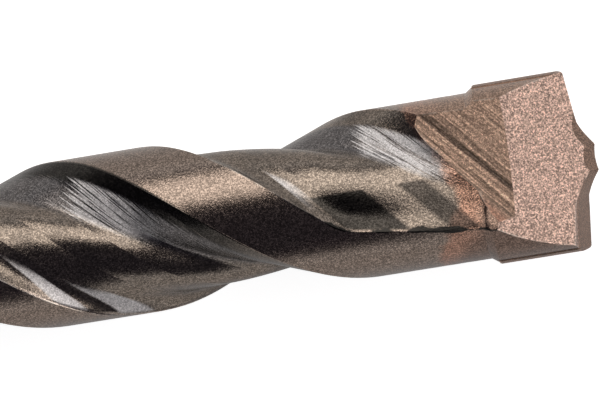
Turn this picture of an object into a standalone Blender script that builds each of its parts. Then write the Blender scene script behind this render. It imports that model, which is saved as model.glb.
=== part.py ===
"""SDS-plus masonry drill bit, 10 mm x 160 mm: a hardened steel body with a brazed carbide tip plate.

The axis is X, with the rear face of the shank at the origin and the tip towards +X. At rest the bit lies
on its side, +Z up, with the flat of the carbide plate facing up.
"""

import math

import bmesh
import bpy
from mathutils import Matrix, Vector

MM = 0.001

# Overall sizes
BIT_LENGTH = 160.0 * MM
PLATE_DIAMETER = 10.3 * MM
SHANK_DIAMETER = 10.0 * MM
SHANK_LENGTH = 52.0 * MM
SHANK_CHAMFER = 1.0 * MM

# Drive slots and locking grooves of the shank
DRIVE_SLOT_WIDTH = 3.0 * MM
DRIVE_SLOT_DEPTH = 1.5 * MM
DRIVE_SLOT_LENGTH = 30.0 * MM
LOCK_GROOVE_START = 10.5 * MM
LOCK_GROOVE_LENGTH = 19.0 * MM
LOCK_GROOVE_RADIUS = 2.5 * MM
LOCK_GROOVE_DEPTH = 1.8 * MM

# Helix of the flutes, with angles about the axis in degrees from +Y towards +Z
PITCH = 36.83 * MM
LAND_RADIUS = 4.77 * MM
LAND_ANGLE = 45.0
LAND_ANGLE_NEAR_HEAD = 52.5
LAND_WIDENS_FROM = 28.3 * MM
LAND_WIDENS_TO = 23.2 * MM
RUN_OUT_LENGTH = 13.0 * MM
COLLAR_TAPER_LENGTH = 3.25 * MM
LEADING_EDGE_AT_CORNERS = 295.4

# Half section between two lands: share of the flute's width, and radius as a share of the land radius
FLUTE_PROFILE = (
    (0.00, 1.000),
    (0.09, 0.895),
    (0.20, 0.765),
    (0.32, 0.652),
    (0.37, 0.654),
    (0.50, 0.738),
    (0.64, 0.788),
    (0.76, 0.802),
    (0.88, 0.818),
    (0.92, 0.838),
    (0.965, 0.895),
    (1.00, 1.000),
)
# The same in the head, where the wheel leaves one broad hollow with a nearly flat floor
HEAD_FLUTE_PROFILE = (
    (0.00, 1.000),
    (0.09, 0.870),
    (0.16, 0.775),
    (0.24, 0.695),
    (0.33, 0.660),
    (0.43, 0.653),
    (0.61, 0.678),
    (0.78, 0.758),
    (0.90, 0.862),
    (1.00, 1.000),
)
LAND_DIVISIONS = 5
RAMP_DIVISIONS = 4
STATION_STEP = 1.25 * MM

# Head: the flutes straighten and the body steps up beside the plate.
# Distances run back from the outer corners.
HEAD_STARTS = 14.5 * MM
HEAD_FULL = 7.5 * MM
HEAD_LEADING_EDGE = 236.0
LEADING_EDGE_SOFTNESS = 22.0
TRAILING_EDGE_BENDS = 13.9 * MM
TRAILING_EDGE_SETTLES = 6.0 * MM
TRAILING_EDGE_AT_BEND = 112.0
HEAD_TRAILING_EDGE = 127.8
TRAILING_EDGE_SOFTNESS = 6.0
PLATE_PROUD = 0.11 * MM
SEAT_RAMP = 0.5 * MM

# Carbide plate
PLATE_THICKNESS = 2.6 * MM
PLATE_SIDE_LENGTH = 5.1 * MM
BRAZE_GAP = 0.06 * MM
POINT_RISE = 1.15 * MM
POINT_NOTCH = 0.09 * MM
POINT_PEAK_OFFSET = 0.75 * MM
POINT_FOOT_OFFSET = 2.1 * MM
POINT_SWEEP = 0.35
CREST_LEAVES_EDGE = 2.9 * MM
WING_RISE = 0.35 * MM
FLANK_SLOPE = 0.265
POINT_ROOF_SLOPE = 0.60
EDGE_HEIGHT = 0.97 * MM
CORNER_CHAMFER = 0.18 * MM

# Gashes that open the flutes to the plate: a face sloping to the cutting edge, and a wheel-cut
# gullet behind it
FACE_HEIGHT_AT_CORNERS = 1.28 * MM
FACE_SLOPE_ALONG = -0.539
FACE_SLOPE_ACROSS = -0.054
WHEEL_RADIUS = 47.0 * MM
GULLET_HEIGHT_AT_CORNERS = 3.47 * MM
GULLET_SLOPE_ALONG = 0.093
GULLET_SLOPE_ACROSS = -0.035
GULLET_LOWEST_BACK = 6.6 * MM
GULLET_LOWEST_ACROSS = 0.94 * MM
GULLET_DIRECTION = 50.5
GULLET_SIDE_ANGLE = 38.0
GULLET_RINGS = 8
CUTTER_REACH = 14.0 * MM
ROUND_SEGMENTS = 96
SHARP_ANGLE = 28.0

CORNER_X = BIT_LENGTH - POINT_RISE
PLATE_RADIUS = PLATE_DIAMETER / 2
SEAT_RADIUS = PLATE_RADIUS - PLATE_PROUD
SHANK_RADIUS = SHANK_DIAMETER / 2
FULL_TURN = 360.0
HALF_TURN = FULL_TURN / 2
DOWN = 270.0
TWIST = FULL_TURN / PITCH
HALF_THICKNESS = PLATE_THICKNESS / 2


def clear_scene():
    for old in list(bpy.data.objects):
        bpy.data.objects.remove(old, do_unlink=True)


def metal(name, colour, roughness, metallic=1.0):
    material = bpy.data.materials.new(name)
    material.use_nodes = True
    shader = material.node_tree.nodes["Principled BSDF"]
    shader.inputs["Base Color"].default_value = (*colour, 1.0)
    shader.inputs["Roughness"].default_value = roughness
    shader.inputs["Metallic"].default_value = metallic
    return material


def smooth_step(start, end, value):
    share = min(max((value - start) / (end - start), 0.0), 1.0)
    return share * share * (3.0 - 2.0 * share)


def soft_min(first, second, softness):
    """The lesser of two values, with the corner between them rounded."""
    share = min(max(0.5 + 0.5 * (second - first) / softness, 0.0), 1.0)
    return second + (first - second) * share - softness * share * (1.0 - share)


def curve_through(points, at):
    """A smooth curve through (position, value) points, read at one position."""
    last = len(points) - 2
    index = 0
    while index < last and at > points[index + 1][0]:
        index += 1
    (x0, y0), (x1, y1) = points[index], points[index + 1]

    def slope(i):
        before, after = points[max(i - 1, 0)], points[min(i + 1, last + 1)]
        return (after[1] - before[1]) / (after[0] - before[0])

    width = x1 - x0
    t = (at - x0) / width
    start, end = slope(index) * width, slope(index + 1) * width
    return (
        y0 * (1 + 2 * t) * (1 - t) ** 2
        + start * t * (1 - t) ** 2
        + y1 * t * t * (3 - 2 * t)
        + end * t * t * (t - 1)
    )


def land_edges(x):
    """Angles of one land's trailing and leading edges at a place along the axis."""
    back = CORNER_X - max(x, SHANK_LENGTH)
    leading = LEADING_EDGE_AT_CORNERS - TWIST * back
    widening = smooth_step(-LAND_WIDENS_FROM, -LAND_WIDENS_TO, -back)
    trailing = leading - LAND_ANGLE - (LAND_ANGLE_NEAR_HEAD - LAND_ANGLE) * widening
    if back < LAND_WIDENS_TO:
        settled = (TRAILING_EDGE_BENDS - back) / (TRAILING_EDGE_BENDS - TRAILING_EDGE_SETTLES)
        bent = TRAILING_EDGE_AT_BEND + (HEAD_TRAILING_EDGE - TRAILING_EDGE_AT_BEND) * min(settled, 1.0)
        trailing = soft_min(trailing, bent, TRAILING_EDGE_SOFTNESS)
    return trailing, soft_min(leading, HEAD_LEADING_EDGE, LEADING_EDGE_SOFTNESS)


def outer_radius(x):
    """Radius of the shank, of the lands or of the seat beside the plate."""
    if x <= SHANK_LENGTH:
        return SHANK_RADIUS
    taper = smooth_step(0.0, COLLAR_TAPER_LENGTH, x - SHANK_LENGTH)
    radius = SHANK_RADIUS + (LAND_RADIUS - SHANK_RADIUS) * taper
    seat = CORNER_X - PLATE_SIDE_LENGTH
    return radius + (SEAT_RADIUS - LAND_RADIUS) * smooth_step(seat - SEAT_RAMP, seat, x)


def flute_shares():
    """Where the section has points across a flute: at the profile's own points and halfway between them."""
    shares = []
    for (here, _), (after, _) in zip(FLUTE_PROFILE, FLUTE_PROFILE[1:]):
        shares += [here, (here + after) / 2]
    return shares


def ring_of(x, places):
    """Points of a ring at x, from angles in degrees and radii."""
    return [
        Vector((x, r * math.cos(math.radians(angle)), r * math.sin(math.radians(angle))))
        for angle, r in places
    ]


def shank_ring(x):
    """An even ring with a flat of it facing down, so that the shank lies as a round bar does."""
    count = 2 * (len(flute_shares()) + LAND_DIVISIONS)
    step = FULL_TURN / count
    flat = DOWN + step / 2
    start = flat + step * round((land_edges(x)[1] - flat) / step)
    return ring_of(x, [(start + step * i, SHANK_RADIUS) for i in range(count)])


def section(x):
    """One ring of the fluted part: land, flute, land, flute."""
    trailing, leading = land_edges(x)
    radius = outer_radius(x)
    depth = smooth_step(0.0, RUN_OUT_LENGTH, x - SHANK_LENGTH)
    head = smooth_step(-HEAD_STARTS, -HEAD_FULL, x - CORNER_X)
    land = leading - trailing
    flute = HALF_TURN - land
    ring = []
    for turn in (0.0, HALF_TURN):
        for share in flute_shares():
            profile = curve_through(FLUTE_PROFILE, share)
            profile += head * (curve_through(HEAD_FLUTE_PROFILE, share) - profile)
            ring.append((leading + turn + share * flute, radius * (1.0 - depth * (1.0 - profile))))
        for step in range(LAND_DIVISIONS):
            ring.append((leading + turn + flute + land * step / LAND_DIVISIONS, radius))
    return ring_of(x, ring)


def stations():
    """Places along the axis where the body has a ring."""
    places = [SHANK_CHAMFER, SHANK_LENGTH]
    end = CORNER_X + POINT_RISE
    count = math.ceil((end - SHANK_LENGTH) / STATION_STEP)
    places += [SHANK_LENGTH + (end - SHANK_LENGTH) * i / count for i in range(1, count + 1)]
    seat = CORNER_X - PLATE_SIDE_LENGTH
    places += [seat - SEAT_RAMP, seat - SEAT_RAMP / 2, seat]
    return sorted(places)


def mesh_object(name, bm, material=None):
    bmesh.ops.recalc_face_normals(bm, faces=bm.faces)
    mesh = bpy.data.meshes.new(name)
    bm.to_mesh(mesh)
    bm.free()
    made = bpy.data.objects.new(name, mesh)
    bpy.context.scene.collection.objects.link(made)
    if material:
        mesh.materials.append(material)
    return made


def loft(name, rings, material=None):
    """A closed skin through rings of equally many points, with a flat cap on each end."""
    bm = bmesh.new()
    loops = [[bm.verts.new(point) for point in ring] for ring in rings]
    for first, second in zip(loops, loops[1:]):
        for i in range(len(first)):
            bm.faces.new((first[i - 1], first[i], second[i], second[i - 1]))
    bm.faces.new(loops[0])
    bm.faces.new(loops[-1])
    return mesh_object(name, bm, material)


def prism(name, outline, depth, place):
    """An outline in the local XY plane, extruded both ways along Z and then placed by a matrix."""
    bm = bmesh.new()
    base = bm.faces.new([bm.verts.new((x, y, -depth)) for x, y in outline])
    grown = bmesh.ops.extrude_face_region(bm, geom=[base])["geom"]
    top = [v for v in grown if isinstance(v, bmesh.types.BMVert)]
    bmesh.ops.translate(bm, vec=(0.0, 0.0, 2 * depth), verts=top)
    bmesh.ops.transform(bm, matrix=place, verts=bm.verts)
    return mesh_object(name, bm)


def cut(target, cutter, operation="DIFFERENCE"):
    cutter.hide_render = True
    cutter.display_type = "WIRE"
    boolean = target.modifiers.new(cutter.name, "BOOLEAN")
    boolean.operation = operation
    boolean.solver = "EXACT"
    boolean.object = cutter


def half_turn(side):
    return Matrix.Rotation(math.pi * side, 4, "X")


def frame_of(origin, along, upward):
    """A matrix whose Z runs along one direction and whose Y leans towards the other."""
    z = along.normalized()
    x = upward.cross(z).normalized()
    y = z.cross(x)
    return Matrix.Translation(origin) @ Matrix((x, y, z)).transposed().to_4x4()


def sloped_point(height, along, across, x, y):
    """A point of a plane given by its height at the corners' station on the axis and by its two slopes."""
    return Vector((x, y, height + along * (x - CORNER_X) + across * y))


def face_cutter(side):
    """Everything above the face that slopes down to one cutting edge."""
    plane = (FACE_HEIGHT_AT_CORNERS, FACE_SLOPE_ALONG, FACE_SLOPE_ACROSS)
    origin = sloped_point(*plane, CORNER_X, 0.0)
    normal = Vector((-FACE_SLOPE_ALONG, -FACE_SLOPE_ACROSS, 1.0)).normalized()
    across = Vector((0.0, 1.0, FACE_SLOPE_ACROSS))
    reach = CUTTER_REACH
    outline = ((-reach, 0.0), (reach, 0.0), (reach, reach), (-reach, reach))
    place = frame_of(origin, across, normal)
    return prism(f"face_cutter_{side}", outline, reach, half_turn(side) @ place)


def gullet_cutter(side):
    """The rim of the grinding wheel that opens the flute: a floor and one sloping side, run round the wheel."""
    plane = (GULLET_HEIGHT_AT_CORNERS, GULLET_SLOPE_ALONG, GULLET_SLOPE_ACROSS)
    lowest = sloped_point(*plane, CORNER_X - GULLET_LOWEST_BACK, GULLET_LOWEST_ACROSS)
    turn = math.radians(GULLET_DIRECTION)
    step = sloped_point(*plane, lowest.x + math.cos(turn) * MM, lowest.y - math.sin(turn) * MM)
    normal = Vector((-GULLET_SLOPE_ALONG, -GULLET_SLOPE_ACROSS, 1.0)).normalized()
    place = half_turn(side) @ frame_of(lowest, step - lowest, normal)
    reach = CUTTER_REACH
    lean = reach / math.tan(math.radians(GULLET_SIDE_ANGLE))
    rings = []
    for index in range(GULLET_RINGS + 1):
        angle = (2 * index / GULLET_RINGS - 1) * reach / WHEEL_RADIUS
        rings.append([
            place @ Vector((across, WHEEL_RADIUS - radius * math.cos(angle), radius * math.sin(angle)))
            for across, radius in (
                (0.0, WHEEL_RADIUS),
                (reach, WHEEL_RADIUS),
                (reach, WHEEL_RADIUS - reach),
                (-lean, WHEEL_RADIUS - reach),
            )
        ])
    return loft(f"gullet_cutter_{side}", rings)


def edge_profile(across):
    """Height of the tip's outline over the outer corners, along the cutting edges and the centre point."""
    offset = abs(across)
    if offset >= POINT_FOOT_OFFSET:
        return WING_RISE * (PLATE_RADIUS - offset) / (PLATE_RADIUS - POINT_FOOT_OFFSET)
    if offset >= POINT_PEAK_OFFSET:
        share = (POINT_FOOT_OFFSET - offset) / (POINT_FOOT_OFFSET - POINT_PEAK_OFFSET)
        swept = (1.0 - POINT_SWEEP) * share + POINT_SWEEP * share * share
        return WING_RISE + (POINT_RISE - WING_RISE) * swept
    return POINT_RISE - POINT_NOTCH * (1.0 - (offset / POINT_PEAK_OFFSET) ** 2)


def crest_height(across):
    """Where the tip's crest lies: on each cutting edge, crossing over to the middle at the centre point."""
    share = smooth_step(POINT_PEAK_OFFSET, CREST_LEAVES_EDGE, abs(across))
    return math.copysign(EDGE_HEIGHT * share, across)


def tip_height(across, height):
    """The ground tip surface: it falls away from the crest, least on the flank behind each cutting edge."""
    drop = height - crest_height(across)
    slope = POINT_ROOF_SLOPE
    if drop * across < 0.0:
        slope += (FLANK_SLOPE - POINT_ROOF_SLOPE) * smooth_step(0.0, POINT_FOOT_OFFSET, abs(across))
    return edge_profile(across) - slope * abs(drop)


def tip_places():
    """Where the tip surface bends, from one side of the plate to the other."""
    ramp = POINT_FOOT_OFFSET - POINT_PEAK_OFFSET
    half = [POINT_PEAK_OFFSET / 2]
    half += [POINT_PEAK_OFFSET + ramp * step / RAMP_DIVISIONS for step in range(RAMP_DIVISIONS + 1)]
    half += [
        (POINT_FOOT_OFFSET + CREST_LEAVES_EDGE) / 2,
        CREST_LEAVES_EDGE,
        PLATE_RADIUS - CORNER_CHAMFER,
        PLATE_RADIUS,
    ]
    return [-place for place in reversed(half)] + [0.0] + half


def tip_block(name, floor, half_height, offset, material=None):
    """A block under the tip surface, or over it where the floor is the higher, as one loft across the plate."""
    rings = []
    for across in tip_places():
        heights = (-half_height, crest_height(across), half_height)
        corner = CORNER_CHAMFER if abs(across) >= PLATE_RADIUS else 0.0
        surface = [
            Vector((CORNER_X + tip_height(across, height) - corner - offset, across, height))
            for height in heights
        ]
        base = [Vector((floor, across, height)) for height in (heights[-1], heights[0])]
        rings.append(surface + base)
    reach = 1.0 + CORNER_CHAMFER / PLATE_RADIUS
    for ring in (rings[0], rings[-1]):
        for point in ring:
            point.y *= reach
    return loft(name, rings, material)


def carbide_plate(gashes, material):
    """The tip plate: ground to the tip surface, round on its two sides and faced with the gash."""
    seat = CORNER_X - PLATE_SIDE_LENGTH
    plate = tip_block("carbide_plate", seat, HALF_THICKNESS, 0.0, material)
    bm = bmesh.new()
    bmesh.ops.create_cone(
        bm,
        cap_ends=True,
        segments=ROUND_SEGMENTS,
        radius1=PLATE_RADIUS,
        radius2=PLATE_RADIUS,
        depth=2 * CUTTER_REACH,
        matrix=Matrix.Translation((CORNER_X, 0.0, 0.0)) @ Matrix.Rotation(math.pi / 2, 4, "Y"),
    )
    cut(plate, mesh_object("plate_round", bm), "INTERSECT")
    for gash in gashes:
        cut(plate, gash)
    return plate


def plate_slot():
    """The slot of the body that the plate is brazed into."""
    width = HALF_THICKNESS + BRAZE_GAP
    back = PLATE_SIDE_LENGTH + BRAZE_GAP
    outline = ((-back, -width), (CUTTER_REACH, -width), (CUTTER_REACH, width), (-back, width))
    return prism("plate_slot", outline, CUTTER_REACH, place_flat(CORNER_X))


def place_flat(x):
    """Local X along the axis, local Y up and local Z across."""
    return Matrix.Translation((x, 0.0, 0.0)) @ Matrix.Rotation(math.pi / 2, 4, "X")


def drive_slot(side):
    """One of the two straight slots, open at the rear end, that turn the bit."""
    floor = SHANK_RADIUS - DRIVE_SLOT_DEPTH
    outline = (
        (-SHANK_RADIUS, floor),
        (DRIVE_SLOT_LENGTH, floor),
        (DRIVE_SLOT_LENGTH + DRIVE_SLOT_DEPTH, SHANK_RADIUS),
        (DRIVE_SLOT_LENGTH + DRIVE_SLOT_DEPTH, 2 * SHANK_RADIUS),
        (-SHANK_RADIUS, 2 * SHANK_RADIUS),
    )
    return prism(f"drive_slot_{side}", outline, DRIVE_SLOT_WIDTH / 2, half_turn(side) @ place_flat(0.0))


def lock_groove(side):
    """One of the two closed grooves with round ends that the chuck's balls lock into."""
    bm = bmesh.new()
    bmesh.ops.create_uvsphere(bm, u_segments=20, v_segments=12, radius=LOCK_GROOVE_RADIUS)
    bmesh.ops.rotate(bm, verts=bm.verts, matrix=Matrix.Rotation(math.pi / 2, 3, "Y"))
    front = [v for v in bm.verts if v.co.x > LOCK_GROOVE_RADIUS / 100]
    run = LOCK_GROOVE_LENGTH - 2 * LOCK_GROOVE_RADIUS
    bmesh.ops.translate(bm, verts=front, vec=(run, 0.0, 0.0))
    start = LOCK_GROOVE_START + LOCK_GROOVE_RADIUS
    axis_height = SHANK_RADIUS - LOCK_GROOVE_DEPTH + LOCK_GROOVE_RADIUS
    place = Matrix.Translation((start, axis_height, 0.0))
    bmesh.ops.transform(bm, matrix=half_turn(side) @ place, verts=bm.verts)
    return mesh_object(f"lock_groove_{side}", bm)


def steel_body(gashes, material):
    rings = [section(x) if x > SHANK_LENGTH else shank_ring(x) for x in stations()]
    narrow = (SHANK_RADIUS - SHANK_CHAMFER) / SHANK_RADIUS
    rear = [Vector((0.0, point.y * narrow, point.z * narrow)) for point in rings[0]]
    body = loft("steel_body", [rear] + rings, material)
    cut(body, tip_block("tip_cutter", CORNER_X + CUTTER_REACH, CUTTER_REACH, BRAZE_GAP))
    cut(body, plate_slot())
    for side, gash in enumerate(gashes):
        cut(body, gullet_cutter(side))
        cut(body, gash)
        cut(body, drive_slot(side))
        cut(body, lock_groove(side))
    return body


def main():
    clear_scene()
    steel = metal("blasted_steel", (0.31, 0.27, 0.24), 0.42)
    carbide = metal("sintered_carbide", (0.55, 0.44, 0.38), 0.5)
    gashes = [face_cutter(side) for side in (0, 1)]
    for made in (steel_body(gashes, steel), carbide_plate(gashes, carbide)):
        made.data.shade_smooth()
        made.data.set_sharp_from_angle(angle=math.radians(SHARP_ANGLE))


main()
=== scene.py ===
"""Looks of a 10 mm masonry drill bit with a slotted quick-change shank.

The steel body is made again with a finer mesh of the same form, cut by the same wheels and slots, and the
carbide plate and its braze seam are finished. Materials are procedural: blasted steel, wheel-ground gashes,
sintered carbide and braze.
"""

import math

import bmesh
import bpy
from mathutils import Matrix, Vector
from mathutils.kdtree import KDTree


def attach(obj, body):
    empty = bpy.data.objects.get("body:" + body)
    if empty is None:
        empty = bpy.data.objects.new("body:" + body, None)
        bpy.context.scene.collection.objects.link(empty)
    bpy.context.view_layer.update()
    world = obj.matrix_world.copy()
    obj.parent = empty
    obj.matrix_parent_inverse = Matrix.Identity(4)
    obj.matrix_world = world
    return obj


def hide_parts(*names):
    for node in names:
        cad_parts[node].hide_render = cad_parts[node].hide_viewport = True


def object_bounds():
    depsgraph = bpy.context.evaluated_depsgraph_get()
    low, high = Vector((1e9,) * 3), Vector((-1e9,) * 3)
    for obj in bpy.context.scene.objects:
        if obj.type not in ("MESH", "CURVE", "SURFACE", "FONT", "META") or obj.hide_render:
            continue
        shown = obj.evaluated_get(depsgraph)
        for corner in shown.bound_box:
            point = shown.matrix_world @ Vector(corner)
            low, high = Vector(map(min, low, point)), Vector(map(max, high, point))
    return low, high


bl_info = {
    "name": "Masonry Drill Bit",
    "version": (1, 0, 0),
    "blender": (4, 5, 0),
    "location": "View3D > Sidebar > Drill Bit",
    "description": "Builds and finishes a masonry drill bit and the studio it is shown in",
    "category": "Add Mesh",
}

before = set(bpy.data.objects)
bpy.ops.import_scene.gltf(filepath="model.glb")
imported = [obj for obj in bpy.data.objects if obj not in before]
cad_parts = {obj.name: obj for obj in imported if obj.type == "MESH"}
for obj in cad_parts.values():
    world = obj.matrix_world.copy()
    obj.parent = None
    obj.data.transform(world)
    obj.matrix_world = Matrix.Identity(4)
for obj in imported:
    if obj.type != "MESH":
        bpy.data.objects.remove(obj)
CAD_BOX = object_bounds()
MM = 0.001

# Half section between two lands: share of the flute's width, and radius as a share of the land radius
FLUTE_PROFILE = (
    (0.00, 1.000), (0.09, 0.895), (0.20, 0.765), (0.32, 0.652), (0.37, 0.654), (0.50, 0.738),
    (0.64, 0.788), (0.76, 0.802), (0.88, 0.818), (0.92, 0.838), (0.965, 0.895), (1.00, 1.000),
)
# The same in the head, where the wheel leaves one broad hollow with a nearly flat floor
HEAD_FLUTE_PROFILE = (
    (0.00, 1.000), (0.09, 0.870), (0.16, 0.775), (0.24, 0.695), (0.33, 0.660),
    (0.43, 0.653), (0.61, 0.678), (0.78, 0.758), (0.90, 0.862), (1.00, 1.000),
)


def length_property(name, description, millimetres):
    return bpy.props.FloatProperty(
        name=name, description=description, default=millimetres * MM, unit="LENGTH", precision=5
    )


def angle_property(name, description, degrees):
    return bpy.props.FloatProperty(
        name=name, description=description, default=math.radians(degrees), unit="ROTATION"
    )


def share_property(name, description, value):
    return bpy.props.FloatProperty(name=name, description=description, default=value, subtype="FACTOR")


def number_property(name, description, value):
    return bpy.props.FloatProperty(name=name, description=description, default=value)


def colour_property(name, description, value):
    return bpy.props.FloatVectorProperty(
        name=name, description=description, default=value, size=3, subtype="COLOR", min=0.0, max=1.0
    )


class DRILLBIT_PG_body(bpy.types.PropertyGroup):
    """Sizes of the steel body."""

    length: bpy.props.FloatProperty(
        name="Length",
        description="Overall length, from the shank's rear face to the centre point",
        default=CAD_BOX[1][0],
        unit="LENGTH",
        precision=5,
    )
    shank_radius: length_property("Shank radius", "Radius of the round shank", 5.0)
    shank_length: length_property("Shank length", "From the rear face to the start of the flutes", 52.0)
    shank_chamfer: length_property("Shank chamfer", "Chamfer round the rear face", 1.0)
    collar_taper: length_property("Collar taper", "Length over which the shank narrows to the lands", 3.25)
    run_out: length_property("Flute run-out", "Length over which the flutes reach their depth", 13.0)
    pitch: length_property("Pitch", "Length of one full turn of the flutes", 36.83)
    land_radius: length_property("Land radius", "Outer radius of the lands", 4.77)
    land_angle: angle_property("Land angle", "Width of one land over most of the body", 45.0)
    land_angle_near_head: angle_property("Land angle near head", "Width of one land before the head", 52.5)
    land_widens_from: length_property("Land widens from", "Distance behind the outer corners", 28.3)
    land_widens_to: length_property("Land widens to", "Distance behind the outer corners", 23.2)
    leading_edge: angle_property("Leading edge", "Angle of the leading edge at the outer corners", 295.4)
    head_leading_edge: angle_property("Head leading edge", "Angle where that edge stops turning", 236.0)
    leading_softness: angle_property("Leading softness", "Rounding of that stop", 22.0)
    edge_bends: length_property("Trailing edge bends", "Distance behind the outer corners", 13.9)
    edge_settles: length_property("Trailing edge settles", "Distance behind the outer corners", 6.0)
    edge_at_bend: angle_property("Angle at bend", "Trailing edge's angle where it bends", 112.0)
    edge_in_head: angle_property("Angle in head", "Trailing edge's angle in the head", 127.8)
    trailing_softness: angle_property("Trailing softness", "Rounding of the bend", 6.0)
    head_starts: length_property("Head starts", "Distance behind the outer corners", 14.5)
    head_full: length_property("Head full", "Distance behind the outer corners", 7.5)
    plate_proud: length_property("Plate proud", "How far the plate stands out of the steel beside it", 0.04)
    seat_ramp: length_property("Seat ramp", "Length of the step up to the seat", 0.5)
    station_step: length_property("Ring spacing", "Spacing of the mesh rings along the flutes", 0.36)


class DRILLBIT_PG_cuts(bpy.types.PropertyGroup):
    """Sizes of the shank's slots, the plate's slot and the gashes of the head."""

    drive_width: length_property("Drive slot width", "Width of each open slot", 3.0)
    drive_depth: length_property("Drive slot depth", "Depth of each open slot", 1.5)
    drive_length: length_property("Drive slot length", "Length of each open slot", 30.0)
    lock_start: length_property("Lock groove start", "Distance from the rear face", 10.5)
    lock_length: length_property("Lock groove length", "Length of each closed groove", 19.0)
    lock_radius: length_property("Lock groove radius", "Radius of each groove's section and ends", 2.5)
    lock_depth: length_property("Lock groove depth", "Depth of each groove", 1.8)
    point_rise: length_property("Point rise", "Height of the centre point over the outer corners", 1.15)
    point_notch: length_property("Point notch", "Depth of the hollow between the point's two peaks", 0.09)
    peak_offset: length_property("Peak offset", "Distance of each peak from the axis", 0.75)
    foot_offset: length_property("Foot offset", "Distance of the point's foot from the axis", 2.1)
    point_sweep: share_property("Point sweep", "Hollow of the point's flanks", 0.35)
    crest_leaves: length_property("Crest leaves edge", "Where the crest leaves each cutting edge", 2.9)
    wing_rise: length_property("Wing rise", "Rise of the cutting edges towards the point", 0.35)
    flank_slope: share_property("Flank slope", "Relief behind each cutting edge", 0.265)
    roof_slope: share_property("Roof slope", "Fall of the centre point to both sides", 0.60)
    corner_chamfer: length_property("Corner chamfer", "Chamfer of the outer corners", 0.18)
    edge_height: length_property("Edge height", "Height of each cutting edge over the middle plane", 0.97)
    plate_radius: length_property("Plate radius", "Radius of the carbide plate's round sides", 5.15)
    plate_thickness: length_property("Plate thickness", "Thickness of the carbide plate", 2.6)
    plate_side: length_property("Plate side", "Length of the plate behind the outer corners", 5.1)
    braze_gap: length_property("Braze gap", "Gap between the plate and its slot", 0.06)
    face_height: length_property("Face height", "Gash face's height on the axis, at the corners", 1.28)
    face_along: number_property("Face slope along", "Slope along the axis", -0.539)
    face_across: number_property("Face slope across", "Slope across", -0.054)
    wheel_radius: length_property("Wheel radius", "Radius of the wheel that grinds the gullets", 47.0)
    gullet_height: length_property("Gullet height", "Gullet floor's height on the axis, at the corners", 3.47)
    gullet_along: number_property("Gullet slope along", "Slope along", 0.093)
    gullet_across: number_property("Gullet slope across", "Slope across", -0.035)
    gullet_back: length_property("Gullet lowest back", "Its lowest line's distance behind the corners", 6.6)
    gullet_offset: length_property("Gullet lowest across", "Its lowest line's place across", 0.94)
    gullet_direction: angle_property("Gullet direction", "Angle of the wheel's run to the axis", 50.5)
    gullet_side: angle_property("Gullet side", "Angle of the gullet's sloping side", 38.0)
    reach: length_property("Cutter reach", "How far each cutting shape reaches past the body", 14.0)
    grain: length_property("Cut mesh size", "Mesh size of the ground faces", 0.3)
    fine_grain: length_property("Tip mesh size", "Mesh size of the ground tip", 0.12)


class DRILLBIT_PG_finish(bpy.types.PropertyGroup):
    """Colours of the finishes."""

    steel: colour_property("Flute steel", "Ground and blasted steel of the flutes", (0.212, 0.176, 0.148))
    land: colour_property("Land steel", "Hardened and blasted steel of the lands", (0.245, 0.193, 0.162))
    # Painted shade: a darker, cooler colour laid on the steep flute walls in place of their dark reflection
    wall: colour_property("Wall painted shade", "Cooler steel of the steep flute walls", (0.13, 0.125, 0.13))
    steel_dark: colour_property("Dark steel", "Oxide left in the flutes", (0.075, 0.068, 0.064))
    # Colour of the wheel's scratches and also of the painted highlights beside the trailing edges
    scratch_and_highlight_steel: colour_property("Scratch and highlight steel", "Scratches of the wheel in the flutes", (0.78, 0.76, 0.77))
    # Heat tint with painted shade: the tint runs from this darker brown at negative Across to copper at
    # positive Across
    heat_tint_painted_shade: colour_property("Heat tint shade", "Darker side of the heat tint", (0.165, 0.108, 0.086))
    # Worn edges: bare steel, and partly a painted highlight along every sharp edge
    steel_worn_and_highlight: colour_property("Worn steel and highlight", "Bare steel on worn edges", (0.62, 0.57, 0.52))
    # Painted shade: near-black laid on the flute floor in the head, past the leading edges and along the
    # trailing edges in the head
    painted_shade: colour_property("Painted shade", "Dark bands across the flute floor", (0.030, 0.028, 0.026))
    heat_tint: colour_property("Heat tint", "Copper-brown tint left by brazing", (0.37, 0.245, 0.180))
    heat_band: colour_property("Heat band", "Redder band where the tint ends", (0.43, 0.240, 0.172))
    gash: colour_property("Gash face", "Ground and blasted face beside the plate", (0.385, 0.272, 0.226))
    gullet: colour_property("Gullet", "Wheel-ground floor of the gullet", (0.43, 0.29, 0.215))
    carbide: colour_property("Carbide", "Sintered carbide", (0.270, 0.180, 0.138))
    braze: colour_property("Braze", "Copper-coloured braze at the seam", (0.46, 0.30, 0.215))
    grain_size: length_property("Grain size", "Size of the blasting grain", 0.07)
    coarse_grain_size: length_property("Coarse grain size", "Size of the grain on the gash faces", 0.080)


class DRILLBIT_PG_studio(bpy.types.PropertyGroup):
    """Floor and camera."""

    view_turn: angle_property("View turn", "How far the camera stands to the tip's side of square-on", 7.39)
    view_roll: angle_property("View roll", "How far the bit rises to the right in the picture", 9.26)
    view_distance: length_property("View distance", "The camera's distance from the point it looks at", 171.9)
    view_width: length_property("View width", "Width that the picture takes in at that point", 34.38)
    view_back: length_property("View point back", "That point's distance behind the outer corners", 15.96)
    view_across: length_property("View point across", "That point's distance across the axis", 0.275)
    floor_size: length_property("Floor size", "Half width of the floor", 3000.0)
    floor_colour: colour_property("Floor colour", "Pale floor", (0.62, 0.62, 0.62))
    floor_glow: number_property("Floor glow", "Added where the floor is seen", 0.9)


def corner_x():
    """Place along the axis of the plate's outer cutting corners."""
    scene = bpy.context.scene
    return scene.drill_body.length - scene.drill_cuts.point_rise


def smooth_step(start, end, value):
    share = min(max((value - start) / (end - start), 0.0), 1.0)
    return share * share * (3.0 - 2.0 * share)


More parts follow.
